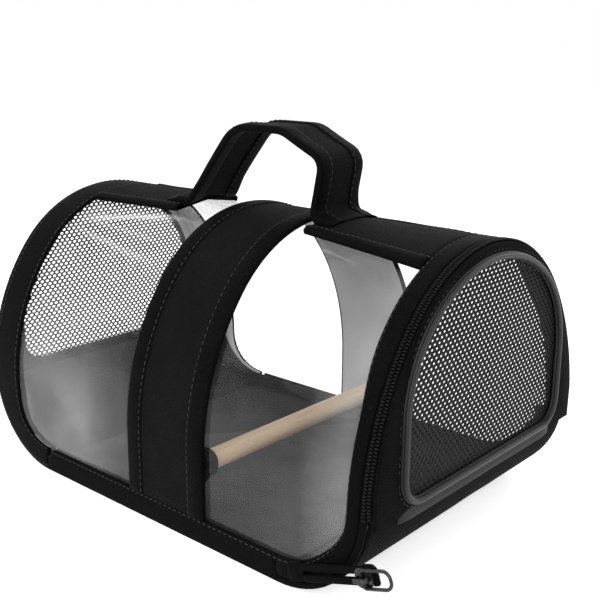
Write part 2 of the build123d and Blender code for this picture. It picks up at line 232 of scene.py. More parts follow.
def stitches(bag, points, outs, pitch=3.2, length=2.2, radius=0.26):
    """Short threads laid along a dense line of points, each dipping into the cloth at its ends."""
    travel = [0.0]
    for a, b in zip(points, points[1:]):
        travel.append(travel[-1] + (b - a).length)
    k, at = 0, pitch / 2
    while at < travel[-1]:
        while travel[k + 1] < at:
            k += 1
        t = (at - travel[k]) / (travel[k + 1] - travel[k])
        mid = points[k].lerp(points[k + 1], t)
        out = outs[k].lerp(outs[k + 1], t).normalized()
        run = (points[k + 1] - points[k]).normalized()
        side = run.cross(out)
        rings = []
        for f, lift, r in ((-0.5, -0.3, 0.5), (-0.25, 0.12, 1.0), (0.25, 0.12, 1.0), (0.5, -0.3, 0.5)):
            c = mid + run * (f * length) + out * (lift * radius * 2 - 0.02)
            rings += [c + (side * cos(q) + out * sin(q)) * radius * r for q in (pi / 5 + 2 * pi * i / 5 for i in range(5))]
        faces = [(4 - i) for i in range(5)], [15 + i for i in range(5)]
        faces = [tuple(f) for f in faces]
        for g in range(3):
            for i in range(5):
                faces.append((g * 5 + i, g * 5 + (i + 1) % 5, g * 5 + 5 + (i + 1) % 5, g * 5 + 5 + i))
        uvs = [tuple((0.001 * i, 0.0) for i in range(len(f))) for f in faces]
        bag.add(rings, faces, uvs)
        at += pitch


# ---------------------------------------------------------------- shader graphs
class Graph:
    """Short calls for building a node tree."""

    def __init__(self, tree):
        self.tree = tree

    def node(self, kind, sockets=None, **props):
        made = self.tree.nodes.new("ShaderNode" + kind)
        for key, value in props.items():
            setattr(made, key, value)
        for key, value in (sockets or {}).items():
            if isinstance(value, bpy.types.NodeSocket):
                self.tree.links.new(value, made.inputs[key])
            else:
                made.inputs[key].default_value = value
        return made

    def math(self, op, *values, clamp=False):
        return self.node("Math", dict(enumerate(values)), operation=op, use_clamp=clamp).outputs[0]

    def noise(self, where, scale, detail=3.0, rough=0.55):
        sockets = {"Vector": where, "Scale": scale, "Detail": detail, "Roughness": rough}
        return self.node("TexNoise", sockets).outputs[0]

    def span(self, value, low, high, to_low=0.0, to_high=1.0):
        sockets = {0: value, 1: low, 2: high, 3: to_low, 4: to_high}
        return self.node("MapRange", sockets, clamp=True).outputs[0]

    def blend(self, factor, a, b):
        made = self.node("Mix", {0: factor}, data_type="RGBA")
        for spot, value in ((6, a), (7, b)):
            if isinstance(value, bpy.types.NodeSocket):
                self.tree.links.new(value, made.inputs[spot])
            else:
                made.inputs[spot].default_value = (*value, 1.0)
        return made.outputs[2]


def group(name, ins, outs):
    """An empty shader group with named sockets, its graph, its input node and its output node."""
    tree = bpy.data.node_groups.new(name, "ShaderNodeTree")
    for label, kind, value in ins:
        socket = tree.interface.new_socket(label, in_out="INPUT", socket_type="NodeSocket" + kind)
        if value is not None:
            socket.default_value = value
    for label in outs:
        tree.interface.new_socket(label, in_out="OUTPUT", socket_type="NodeSocketFloat")
    g = Graph(tree)
    return tree, g, tree.nodes.new("NodeGroupInput"), tree.nodes.new("NodeGroupOutput")


def plain_weave():
    """Over-and-under threads from a flat coordinate in metres."""
    ins = [("Vector", "Vector", None), ("Warp", "Float", 0.0006), ("Weft", "Float", 0.0006)]
    tree, g, i, o = group("plain_weave", ins, ("Height", "Gap"))
    xyz = g.node("SeparateXYZ", {0: i.outputs["Vector"]})
    u = g.math("DIVIDE", xyz.outputs[0], i.outputs["Warp"])
    v = g.math("DIVIDE", xyz.outputs[1], i.outputs["Weft"])
    warp = g.math("ABSOLUTE", g.math("SINE", g.math("MULTIPLY", u, pi)))
    weft = g.math("ABSOLUTE", g.math("SINE", g.math("MULTIPLY", v, pi)))
    turn = g.math("MULTIPLY", g.math("ADD", g.math("FLOOR", u), g.math("FLOOR", v)), pi)
    over = g.math("MULTIPLY_ADD", g.math("COSINE", turn), 0.35, 0.6)
    under = g.math("SUBTRACT", 1.2, over)
    high = g.math("MAXIMUM", g.math("MULTIPLY", warp, over), g.math("MULTIPLY", weft, under))
    tree.links.new(high, o.inputs["Height"])
    # Gap marks where no thread lies on top; cloth() darkens the colour there as painted shade
    tree.links.new(g.span(g.math("MAXIMUM", warp, weft), 0.75, 0.35), o.inputs["Gap"])
    return tree


def rib_tape():
    """Fine ribs across a woven tape, with its two selvedges."""
    ins = [("Vector", "Vector", None), ("Rib", "Float", 0.0009), ("Thread", "Float", 0.0005)]
    tree, g, i, o = group("rib_tape", ins, ("Height", "Groove"))
    xyz = g.node("SeparateXYZ", {0: i.outputs["Vector"]})
    v = g.math("ABSOLUTE", g.math("SINE", g.math("MULTIPLY", g.math("DIVIDE", xyz.outputs[1], i.outputs["Rib"]), pi)))
    u = g.math("ABSOLUTE", g.math("SINE", g.math("MULTIPLY", g.math("DIVIDE", xyz.outputs[0], i.outputs["Thread"]), pi)))
    high = g.math("MULTIPLY_ADD", u, 0.3, g.math("MULTIPLY", g.math("SQRT", v), 0.7))
    tree.links.new(high, o.inputs["Height"])
    # Groove marks the dip between ribs; cloth() darkens the colour there as painted shade
    tree.links.new(g.span(v, 0.45, 0.05), o.inputs["Groove"])
    return tree


def cloth_age():
    """Dust that settles, handling that dulls, and loose fibre, from a place on the piece."""
    ins = [("Vector", "Vector", None), ("Scale", "Float", 1.0)]
    tree, g, i, o = group("cloth_age", ins, ("Dust", "Fade", "Fibre"))
    where = g.node("VectorMath", {0: i.outputs["Vector"], "Scale": i.outputs["Scale"]}, operation="SCALE").outputs[0]
    cloud = g.noise(where, 28.0, 4.0, 0.6)
    speck = g.noise(where, 900.0, 2.0, 0.5)
    dust = g.math("MULTIPLY", g.span(cloud, 0.45, 0.75), g.span(speck, 0.5, 0.72))
    tree.links.new(dust, o.inputs["Dust"])
    tree.links.new(g.span(g.noise(where, 60.0, 5.0, 0.65), 0.3, 0.7), o.inputs["Fade"])
    tree.links.new(g.span(g.noise(where, 2600.0, 2.0, 0.5), 0.35, 0.7), o.inputs["Fibre"])
    return tree


WEAVE, RIBS, AGE = plain_weave(), rib_tape(), cloth_age()


def material(name):
    made = bpy.data.materials.new(name)
    made.use_nodes = True
    made.node_tree.nodes.clear()
    g = Graph(made.node_tree)
    out = g.node("OutputMaterial")
    return made, g, out


def cloth(name, dark, light, roughness, pitch, depth, ribs=False, sheen=0.005, dust=0.014, shine=0.02, slanted_patch=False):
    """Woven cloth or ribbed tape: threads, faded patches, dust and fibre, and for the board a darker patch past a
    slanted line on its far front side.
    """
    made, g, out = material(name)
    uv = g.node("UVMap", uv_map="UVMap").outputs[0]
    place = g.node("TexCoord").outputs["Object"]
    thread = g.node("Group", node_tree=RIBS if ribs else WEAVE)
    g.tree.links.new(uv, thread.inputs["Vector"])
    thread.inputs[1].default_value, thread.inputs[2].default_value = pitch
    age = g.node("Group", node_tree=AGE)
    g.tree.links.new(place, age.inputs["Vector"])
    # the gaps and grooves between threads are darkened: painted shade
    low = g.math("MULTIPLY", thread.outputs[1], 0.75)
    tone = g.blend(age.outputs["Fade"], dark, light)
    tone = g.blend(low, tone, tuple(c * 0.35 for c in dark))
    specks = g.math("MULTIPLY", age.outputs["Dust"], dust)
    tone = g.blend(specks, tone, (0.5, 0.49, 0.47))
    if slanted_patch:
        # past a slanted line on the board's far front side the colour is darker, where the board's top is also raised
        xyz = g.node("SeparateXYZ", {0: place})
        past = g.math("SUBTRACT", xyz.outputs[0], g.math("MULTIPLY_ADD", xyz.outputs[1], 0.755, -0.04))
        past = g.math("MULTIPLY", g.span(past, 0.001, -0.001), g.span(xyz.outputs[1], -0.009, -0.005))
        tone = g.blend(g.math("MULTIPLY", past, 0.55), tone, tuple(c * 0.2 for c in dark))
    grain = g.math("MULTIPLY_ADD", age.outputs["Fibre"], 0.35, thread.outputs["Height"])
    worn = g.math("MULTIPLY_ADD", age.outputs["Fade"], 0.12, roughness - 0.06)
    bump = g.node("Bump", {"Height": grain, "Distance": depth, "Strength": 0.8})
    shader = g.node(
        "BsdfPrincipled",
        {"Base Color": tone, "Roughness": worn, "Normal": bump.outputs[0], "Sheen Weight": sheen, "Sheen Roughness": 0.4},
    )
    shader.inputs["Sheen Tint"].default_value = (0.8, 0.82, 0.85, 1.0)
    shader.inputs["Specular IOR Level"].default_value = shine
    g.tree.links.new(shader.outputs[0], out.inputs["Surface"])
    return made


def clear_film():
    """Soft clear film: sharp reflections, a faint haze in patches, fine scuffs, and painted highlight streaks along its
    folds.
    """
    made, g, out = material("clear_film")
    place = g.node("TexCoord").outputs["Object"]
    xyz = g.node("SeparateXYZ", {0: place})
    # the film is milkier low in the far front window and along the inner edge of the near rim
    low = g.math("MULTIPLY", g.span(xyz.outputs[2], 0.1, 0.03), g.span(xyz.outputs[0], -0.01, -0.05))
    low = g.math("MULTIPLY", low, g.span(xyz.outputs[1], -0.055, -0.07))
    near = g.math("MULTIPLY", g.span(xyz.outputs[0], 0.088, 0.108), g.span(xyz.outputs[1], -0.03, -0.06))
    milky_zones_and_painted_streaks = g.math("ADD", g.math("MULTIPLY", low, 0.19), g.math("MULTIPLY", near, 0.15))
    cloud = g.span(g.noise(place, 24.0, 4.0, 0.6), 0.3, 0.65, 0.35, 1.0)
    wobble = g.math("MULTIPLY_ADD", g.noise(place, 55.0, 2.0), 0.004, -0.002)
    across = g.math("ADD", xyz.outputs[1], wobble)
    # painted highlight streaks where the film folds high in both windows; each row: start and slope of the line, width,
    # strength, x from and to
    for start, slope, width, depth, x0, x1 in (
        (-0.0188, 0.189, 0.0030, 0.50, -0.098, -0.03),
        (-0.0548, -0.133, 0.0016, 0.22, -0.1, -0.02),
        (-0.0456, -0.098, 0.0014, 0.16, -0.1, -0.02),
        (-0.0198, -0.16, 0.0016, 0.30, 0.03, 0.082),
        (-0.0262, -0.17, 0.0011, 0.16, 0.03, 0.075),
    ):
        off = g.math("ABSOLUTE", g.math("SUBTRACT", across, g.math("MULTIPLY_ADD", xyz.outputs[0], slope, start)))
        line = g.math("MULTIPLY", g.span(off, width, 0.0, 0.0, depth), g.span(xyz.outputs[0], x0, x0 + 0.02))
        line = g.math("MULTIPLY", line, g.span(xyz.outputs[0], x1, x1 - 0.02))
        milky_zones_and_painted_streaks = g.math("ADD", milky_zones_and_painted_streaks, g.math("MULTIPLY", line, g.span(xyz.outputs[2], 0.06, 0.08)))
    haze_and_painted_streaks = g.math("MULTIPLY_ADD", milky_zones_and_painted_streaks, cloud, g.span(g.noise(place, 15.0, 3.0, 0.5), 0.5, 0.78, 0.0, 0.03))
    streak = g.node("Mapping", {0: place, 3: (1.0, 9.0, 5.0)}).outputs[0]
    milk_and_painted_streaks = g.math("ADD", haze_and_painted_streaks, g.span(g.noise(streak, 70.0, 3.0), 0.66, 0.8, 0.0, 0.045))
    facing = g.math("POWER", g.node("LayerWeight", {"Blend": 0.5}).outputs["Facing"], 4.0)
    cover = g.math("ADD", g.math("MULTIPLY_ADD", facing, 0.62, 0.018), milk_and_painted_streaks, clamp=True)
    ripple = g.node("Bump", {"Height": g.noise(place, 60.0, 2.0), "Distance": 0.0015, "Strength": 0.35})
    mirror = g.math("SUBTRACT", 1.0, g.math("DIVIDE", milk_and_painted_streaks, cover), clamp=True)
    gloss = g.node("BsdfPrincipled", {"Metallic": mirror, "Normal": ripple.outputs[0]})
    gloss.inputs["Base Color"].default_value = (0.86, 0.86, 0.86, 1.0)
    gloss.inputs["Roughness"].default_value = 0.07
    through = g.node("BsdfTransparent", {"Color": (0.95, 0.95, 0.95, 1.0)})
    mix = g.node("MixShader", {0: cover, 1: through.outputs[0], 2: gloss.outputs[0]})
    g.tree.links.new(mix.outputs[0], out.inputs["Surface"])
    return made


def lacquer():
    """Black lacquer on cast metal, rubbed through to grey where it is handled."""
    made, g, out = material("black_lacquer")
    place = g.node("TexCoord").outputs["Object"]
    worn = g.span(g.noise(place, 700.0, 4.0, 0.65), 0.6, 0.68)
    tone = g.blend(worn, (0.005, 0.005, 0.0055), (0.09, 0.09, 0.093))
    rough_ = g.span(g.noise(place, 260.0, 3.0), 0.3, 0.7, 0.22, 0.42)
    bump = g.node("Bump", {"Height": g.noise(place, 1500.0, 2.0), "Distance": 0.00006, "Strength": 0.5})
    shader = g.node(
        "BsdfPrincipled",
        {"Base Color": tone, "Roughness": rough_, "Metallic": g.math("MULTIPLY", worn, 0.9), "Normal": bump.outputs[0]},
    )
    shader.inputs["Specular IOR Level"].default_value = 0.3
    shader.inputs["Coat Weight"].default_value = 0.15
    shader.inputs["Coat Roughness"].default_value = 0.15
    g.tree.links.new(shader.outputs[0], out.inputs["Surface"])
    return made


def dowel_wood():
    """Pale beech: long grain along the dowel, short flecks, and a few darker pores."""
    made, g, out = material("pale_beech")
    place = g.node("TexCoord").outputs["Object"]
    along = g.node("Mapping", {0: place, 3: (42.0, 2.2, 42.0)}).outputs[0]
    ring = g.noise(along, 9.0, 5.0, 0.6)
    fleck = g.span(g.noise(g.node("Mapping", {0: place, 3: (60.0, 9.0, 60.0)}).outputs[0], 22.0, 2.0), 0.62, 0.72)
    tone = g.blend(g.span(ring, 0.3, 0.7), (0.68, 0.48, 0.31), (0.83, 0.65, 0.46))
    tone = g.blend(g.math("MULTIPLY", fleck, 0.35), tone, (0.36, 0.23, 0.12))
    bump = g.node("Bump", {"Height": g.math("SUBTRACT", ring, fleck), "Distance": 0.00012, "Strength": 0.6})
    rough_ = g.span(ring, 0.3, 0.7, 0.62, 0.46)
    shader = g.node("BsdfPrincipled", {"Base Color": tone, "Roughness": rough_, "Normal": bump.outputs[0]})
    g.tree.links.new(shader.outputs[0], out.inputs["Surface"])
    return made


def nylon(name, dark, light, roughness):
    """Moulded or drawn nylon: zip teeth, net threads and sewing thread, with fine twist."""
    made, g, out = material(name)
    place = g.node("TexCoord").outputs["Object"]
    age = g.node("Group", node_tree=AGE)
    g.tree.links.new(place, age.inputs["Vector"])
    tone = g.blend(age.outputs["Fade"], dark, light)
    bump = g.node("Bump", {"Height": age.outputs["Fibre"], "Distance": 0.00008, "Strength": 0.6})
    rough_ = g.math("MULTIPLY_ADD", age.outputs["Fade"], 0.15, roughness)
    shader = g.node("BsdfPrincipled", {"Base Color": tone, "Roughness": rough_, "Normal": bump.outputs[0]})
    shader.inputs["Specular IOR Level"].default_value = 0.12
    g.tree.links.new(shader.outputs[0], out.inputs["Surface"])
    return made


FILM = clear_film()
BASE = cloth("black_oxford", (0.0026, 0.0026, 0.0028), (0.0048, 0.0048, 0.0052), 0.72, (0.0007, 0.0007), 0.00016)
BAND = cloth("black_webbing", (0.0048, 0.0048, 0.0053), (0.0080, 0.0080, 0.0087), 0.66, (0.0008, 0.0011), 0.0002)
BINDING = cloth("binding_tape", (0.0018, 0.0018, 0.002), (0.0034, 0.0034, 0.0037), 0.55, (0.0009, 0.0005), 0.00018, ribs=True, dust=0.015)
GUSSET = cloth("gusset_cloth", (0.0028, 0.0028, 0.003), (0.0052, 0.0052, 0.0056), 0.7, (0.0006, 0.0006), 0.00014)
PIPING = cloth("piping_cloth", (0.004, 0.004, 0.0043), (0.0075, 0.0075, 0.008), 0.36, (0.0006, 0.0006), 0.0001, sheen=0.02, shine=0.3)
LINING = cloth("grey_lining", (0.024, 0.024, 0.0247), (0.044, 0.044, 0.045), 0.8, (0.0006, 0.0006), 0.00012, dust=0.05, shine=0.02)
# pale grey for inner faces seen through the film: painted reflection of the film's glare
PAINTED_GLARE_GREY = cloth("painted_glare_grey", (0.80, 0.80, 0.81), (0.90, 0.90, 0.91), 0.5, (0.0007, 0.0007), 0.0001, shine=0.3)
BOARD = cloth("grey_board_cover", (0.064, 0.064, 0.066), (0.096, 0.096, 0.099), 0.8, (0.0007, 0.0007), 0.00014, dust=0.06, shine=0.02, slanted_patch=True)
HINGE = cloth("grey_hinge_cloth", (0.018, 0.018, 0.019), (0.032, 0.032, 0.034), 0.6, (0.0007, 0.0007), 0.00014, shine=0.15)
ZIP_TAPE = cloth("zip_tape", (0.0025, 0.0025, 0.0028), (0.0048, 0.0048, 0.005), 0.68, (0.0007, 0.0004), 0.0001, ribs=True)
NET = nylon("net_thread", (0.0028, 0.0028, 0.003), (0.0055, 0.0055, 0.006), 0.5)
COIL = nylon("zip_coil", (0.0022, 0.0022, 0.0023), (0.0042, 0.0042, 0.0045), 0.42)
# grey sewing thread, its tone raised so the stitch lines also give the light line along the binding edges: partly
# painted highlight
THREAD_AND_EDGE_HIGHLIGHT = nylon("sewing_thread_and_edge_highlight", (0.022, 0.022, 0.023), (0.04, 0.04, 0.042), 0.55)
METAL = lacquer()
WOOD = dowel_wood()


# ---------------------------------------------------------------- film, base, lining
def foot_at(x):
    """Height of the swept-up lower edge at x."""
    run = abs(x) - FLAT
    return CORNER - sqrt(max(0.0, CORNER**2 - run**2)) if run > 0 else 0.0


def window_mask(x, s):
    """1 in the middle of a clear window, 0 at the bands that hold the film."""
    up = min(s, GIRTH - s)
    gap = min(up - max(12.0, foot_at(x) + 12.0), (RIDGE - 24.0 - up) if x < -41 or x > 42 else 60.0)
    gap = min(gap, min(x + 103.0, -14.0 - x) if x < 10 else min(x - 36.0, 111.0 - x))
    return smooth(0.0, 14.0, gap)


def film_lift(x, s):
    up = min(s, GIRTH - s)
    side = 0.0 if s < RIDGE else 9.0
    slow = rough(x + 0.6 * up, up * 0.7, 1.3 + side, 42.0) * 2.0
    crease = 1.0 - abs(rough(x * 0.8 + up * 0.5, up - 0.4 * x, 4.1 + side, 27.0)) * 5.0
    return window_mask(x, s) * (slow + 0.55 * max(0.0, crease) * smooth(40.0, 130.0, up))


def film_point(i, j, side):
    x = -HALF + 0.3 + (2 * HALF - 0.6) * i
    low = foot_at(x) + 0.5
    s = low + (GIRTH - 2 * low) * j
    return on(x, s, film_lift(x, s) - 0.4)


bag = Bag()
grid(bag, 84, 112, film_point, skins=1)
film = bag.piece("clear_film_tunnel", FILM, "carrier", ["clear_cover"], "clear_film")


def side_path(inset, step=4.0):
    """Side view of the floor from the far sill to the near one: x, z and the outward normal."""
    r = CORNER - inset
    out, cuts = [], 16
    low = -atan2(CORNER - WALL, r)
    for i in range(cuts + 1):
        a = low + (-pi / 2 - low) * i / cuts
        out.append((-FLAT - r * cos(a), CORNER + r * sin(a), -cos(a), sin(a)))
    n = int(2 * FLAT / step)
    out += [(-FLAT + 2 * FLAT * i / n, inset, 0.0, -1.0) for i in range(1, n)]
    for i in range(cuts + 1):
        a = -pi / 2 + (low + pi / 2) * i / cuts
        out.append((FLAT + r * cos(a), CORNER + r * sin(a), cos(a), sin(a)))
    return out


def floor_sheet(name, inset, thick, half, mat, node, slot, wrinkle, turned=0.0):
    """Cloth along the floor and up both ends; where it is turned up, its sides stand against the film."""
    path = side_path(inset)
    n, bend, flat_half = len(path) - 1, 1.6, half - (1.6 if turned else 0.0)
    steps = [flat_half * (2 * i / 44 - 1) for i in range(45)]
    if turned:
        more = [flat_half + 0.5 * bend * pi * i / 4 for i in range(1, 5)]
        more += [more[-1] + (turned - bend) * i / 4 for i in range(1, 5)]
        steps = [-v for v in more[::-1]] + steps + more
    m = len(steps) - 1

    def place(i, j, side):
        x, z, nx, nz = path[round(i * n)]
        at = steps[round(j * m)]
        hand = 1.0 if at > 0 else -1.0
        over = max(0.0, abs(at) - flat_half)
        a = min(pi / 2, over / bend)
        y = abs(at) - over + bend * sin(a)
        up = bend * (1 - cos(a)) + max(0.0, over - bend * pi / 2)
        lift = wrinkle(x, hand * y, z) * smooth(0, 12, half - y) * cos(a)
        grow = 0.0 if side else thick
        y, up = hand * (y - grow * sin(a)), up + lift + grow * cos(a)
        return Vector((x - nx * up, y, z - nz * up))

    made = Bag()
    grid(made, n, m, place)
    made.faces = [f[::-1] for f in made.faces]
    made.uvs = [u[::-1] for u in made.uvs]
    piece = made.piece(name, mat, "carrier", [node], slot)
    return piece


def base_wrinkle(x, y, z):
    return 0.25 * max(0.0, rough(x, y, 2.0, 24.0)) * smooth(0.5, 6.0, z)


def lining_wrinkle(x, y, z):
    fold = max(0.0, 1.0 - abs(rough(x * 0.7 + y * 0.3, y * 0.9 - x * 0.2, 7.7, 30.0)) * 6.0)
    return 0.8 * (rough(x, y, 3.3, 34.0) + 0.5) + 1.5 * fold * smooth(60.0, 90.0, abs(x))


floor_sheet("outer_base", 0.0, 2.0, 76.4, BASE, "base_panel", "black_fabric", base_wrinkle)
floor_sheet("inner_lining", 2.1, 1.0, 76.0, LINING, "floor_lining", "lining", lining_wrinkle, 9.6)


def board_edge(inset):
    """Outline of the floor board, moved inwards."""
    out = []
    for cx, cy, a0 in ((1, 1, 0), (-1, 1, 90), (-1, -1, 180), (1, -1, 270)):
        for i in range(9):
            a = radians(a0 + 90 * i / 8)
            out.append((cx * (79 - 8) + (8 - inset) * cos(a), cy * (74.5 - 8) + (8 - inset) * sin(a)))
    return out


FOLD = [(-97, -11), (-43, -4), (-26, 23), (-9, 44), (9, 65)]


def fold_line(x, y):
    """1 on the crease that crosses the floor, 0 a few millimetres away from it."""
    best = 99.0
    for (x0, y0), (x1, y1) in zip(FOLD, FOLD[1:]):
        run = Vector((x1 - x0, y1 - y0))
        t = min(1.0, max(0.0, (Vector((x - x0, y - y0)).dot(run)) / run.length_squared))
        best = min(best, hypot(x - x0 - run.x * t, y - y0 - run.y * t))
    return smooth(2.2, 0.0, best)


def board():
    """Stiffening board in its sewn cover, edges rounded and cloth slightly crumpled on top."""
    made = Bag()
    rings = [(0.9, 3.3), (0.1, 3.8), (0.0, 4.6), (0.4, 5.3), (1.3, 5.7), (5.0, 5.6), (7.5, 5.75)]
    verts = []
    for inset, z in rings:
        verts += [Vector((x, y, z)) for x, y in board_edge(inset)]
    n = 36
    faces = [tuple(range(n))[::-1]]
    uvs = [tuple((verts[i].x * MM, verts[i].y * MM) for i in faces[0])]
    for k in range(len(rings) - 1):
        for i in range(n):
            f = (k * n + i, k * n + (i + 1) % n, (k + 1) * n + (i + 1) % n, (k + 1) * n + i)
            faces.append(f)
            uvs.append(tuple((verts[q].x * MM, verts[q].y * MM) for q in f))
    # the top is a grid that shares the last ring's extent
    made.add(verts, faces, uvs)
    last = [(len(rings) - 1) * n + i for i in range(n)]
    steps = 30
    base = len(made.verts)
    inner = []
    for k in range(1, steps):
        f = 1 - k / steps
        for i in range(n):
            p = verts[last[i]]
            x, y = p.x * f, p.y * f
            z = 5.75 + 0.5 * rough(x, y, 6.1, 22.0) + 0.4 * max(0.0, 1 - abs(rough(x, y, 8.8, 40.0)) * 7)
            # past the same slanted line the top is raised a little; the cloth's colour is darker there too
            slanted_patch = smooth(1.5, -1.5, x - 0.755 * y + 40.0) * smooth(-9.0, -5.0, y)
            inner.append(Vector((x, y, z + 0.9 * fold_line(x, y) + 0.7 * slanted_patch * f**0.2 * min(1.0, (1 - f) * 12))))
    inner.append(Vector((0, 0, 5.8)))
    top_faces = []
    ring = last
    for k in range(1, steps):
        nxt = [base + (k - 1) * n + i for i in range(n)]
        top_faces += [(ring[i], ring[(i + 1) % n], nxt[(i + 1) % n], nxt[i]) for i in range(n)]
        ring = nxt
    tip = base + len(inner) - 1
    top_faces += [(ring[i], ring[(i + 1) % n], tip) for i in range(n)]
    made.verts += inner
    made.faces += top_faces
    made.uvs += [tuple((made.verts[q].x * MM, made.verts[q].y * MM) for q in f) for f in top_faces]
    return made.piece("covered_floor_board", BOARD, "carrier", ["floor_board"], "board")


board()


# ---------------------------------------------------------------- bands and bindings of the tunnel
def rim_path(inset, end=1, from_x=FLAT):
    """Unrolled middle line round one end: base line, lower corner, up, over the ridge and down again."""
    r = CORNER - inset
    half = []
    if from_x < FLAT:
        n = max(2, int((FLAT - from_x) / 5))
        half += [(from_x + (FLAT - from_x) * i / n, inset, 0.0, -1.0) for i in range(n)]
    cuts = 18
    for i in range(cuts + 1):
        a = -pi / 2 + pi / 2 * i / cuts
        if FLAT + r * cos(a) >= from_x - 0.01:
            half.append((FLAT + r * cos(a), CORNER + r * sin(a), cos(a), sin(a)))
    n = int((RIDGE - CORNER) / 4)
    half += [(HALF - inset, CORNER + (RIDGE - CORNER) * i / n, 1.0, 0.0) for i in range(1, n + 1)]
    back = [(x, GIRTH - s, ax, -as_) for x, s, ax, as_ in half[::-1][1:]]
    return [(end * x, s, end * ax, as_) for x, s, ax, as_ in half + back]


def on_rim(st, u, d):
    """The far band narrows to the foot band's width, and the near one where the side wall is upright."""
    x, s, ax, as_ = st
    up = min(s, GIRTH - s)
    if u < -2.0 and x < 0.01 - FLAT:
        u *= 0.2 + 0.8 * smooth(8.0, 40.0, up)
    elif u < -1.6 and x > 90:
        u *= 1.0 - 0.7 * smooth(110.0, 72.0, up) * smooth(15.0, 40.0, up)
    return on(x + ax * u, s + as_ * u, d)


def paint_glare_inside(piece):
    """Pale colour on the inner face of a band, seen through the film: painted reflection of the film's glare."""
    piece.data.materials.append(PAINTED_GLARE_GREY)
    for face in piece.data.polygons:
        mid = face.center / MM
        if abs(face.normal.x) < 0.5 and clear_of(mid.y, mid.z) < 0.2:
            face.material_index = 1


def rim(name, node, slot, mat, path, profile, flip=False):
    made = Bag()
    sweep(made, path[::-1] if flip else path, profile, on_rim)
    return made.piece(name, mat, "carrier", [node], slot)


def rim_line(path, u, d):
    points = [on_rim(st, u, d) for st in path]
    outs = [(on_rim(st, u, d + 1) - on_rim(st, u, d)) for st in path]
    return points, outs


near_path = rim_path(7.5)
far_path = rim_path(10.0, -1)
rim("near_rim_webbing", "near_rim_band", "webbing", BINDING, near_path, tape(-4.5, 4.5, 0.02, 2.1, 0.8, 0.35))
paint_glare_inside(rim("far_rim_webbing", "far_rim_band", "webbing", BINDING, far_path, tape(-10.0, 10.0, 0.02, 2.1, 0.8, 0.3, 8), True))

seams = Bag()
stitches(seams, *rim_line(near_path, -3.3, 1.85))
stitches(seams, *rim_line(far_path, -8.6, 1.9))
stitches(seams, *rim_line(far_path, 7.6, 1.95))

for name, node, side in (("front_foot_band", "front_base_band", 1), ("rear_foot_band", "rear_base_band", -1)):
    made = Bag()
    n = 40
    straight = [(-FLAT + 2 * FLAT * i / n, 6.0, 0.0, -1.0) for i in range(n + 1)]
    turn = [st for st in rim_path(1.5)[:19] if st[0] <= 103.5]
    for path, profile in ((straight, tape(-6.0, 6.0, 0.02, 2.0, 0.7, 0.25)), (turn, tape(-1.5, 1.5, 0.02, 1.9, 0.6, 0.2))):
        if side < 0:
            path = [(x, GIRTH - s, ax, -as_) for x, s, ax, as_ in path][::-1]
        sweep(made, path, profile, on_rim)
    made.piece(name, BASE, "carrier", [node], "black_fabric")
    path = straight if side > 0 else [(x, GIRTH - s, ax, -as_) for x, s, ax, as_ in straight]
    stitches(seams, *rim_line(path, -4.8, 1.8))

# Hoop band with its two bound edges
hoop_s = [12.0 + (GIRTH - 24.0) * i / 96 for i in range(97)]


def on_hoop(s, u, d):
    return on(u, s, d)


def hoop_part(name, node, mat, profile):
    made = Bag()
    sweep(made, hoop_s[::-1], profile, on_hoop)
    return made.piece(name, mat, "carrier", [node], "webbing" if mat is BAND else "binding")


hoop = hoop_part("hoop_webbing", "hoop_band", BAND, tape(-12.8, 34.8, 0.02, 2.0, 0.6, 0.1, 16))
paint_glare_inside(hoop)
hoop_part("hoop_edge_far", "hoop_binding_far", BINDING, tape(-13.9, -3.6, 0.04, 2.95, 1.1, 0.45))
hoop_part("hoop_edge_near", "hoop_binding_near", BINDING, tape(25.6, 35.9, 0.04, 2.95, 1.1, 0.45))
for u in (-4.9, 26.9):
    stitches(seams, [on(u, s, 2.55) for s in hoop_s], [on(u, s, 3.55) - on(u, s, 2.55) for s in hoop_s])

# ---------------------------------------------------------------- strap along the ridge
def on_strip(x, u, d):
    """The strap narrows towards the loop and lies a little uneven."""
    half = 21.5 + (0.045 if x < 0 else 0.15) * (abs(x) - 40)
    return on(x, RIDGE + u * half / 29.8, d + 0.35 * rough(x, u, 2.2, 14.0) * smooth(0.5, 2.0, d))


for name, x0, x1 in (("top_strip_far", -103.0, -41.4), ("top_strip_near", 42.4, 111.0)):
    xs = [x0 + (x1 - x0) * i / 24 for i in range(25)]
    for part, u0, u1, d1, mat in (
        ("", -28.3, 28.3, 2.0, BAND),
        ("_front_binding", -29.8, -22.8, 2.95, BINDING),
        ("_rear_binding", 22.8, 29.8, 2.95, BINDING),
    ):
        made = Bag()
        sweep(made, xs, tape(u0, u1, 0.04, d1, 1.0 if part else 0.5, 0.4 if part else 0.05, 8), on_strip)
        made.piece("ridge" + name[9:] + (part or "_webbing"), mat, "carrier", [name + part], "binding" if part else "webbing")
    for u in (-23.9, 23.9):
        line = [on_strip(x, u, 2.55) for x in xs]
        stitches(seams, line, [on_strip(x, u, 3.55) - on_strip(x, u, 2.55) for x in xs])


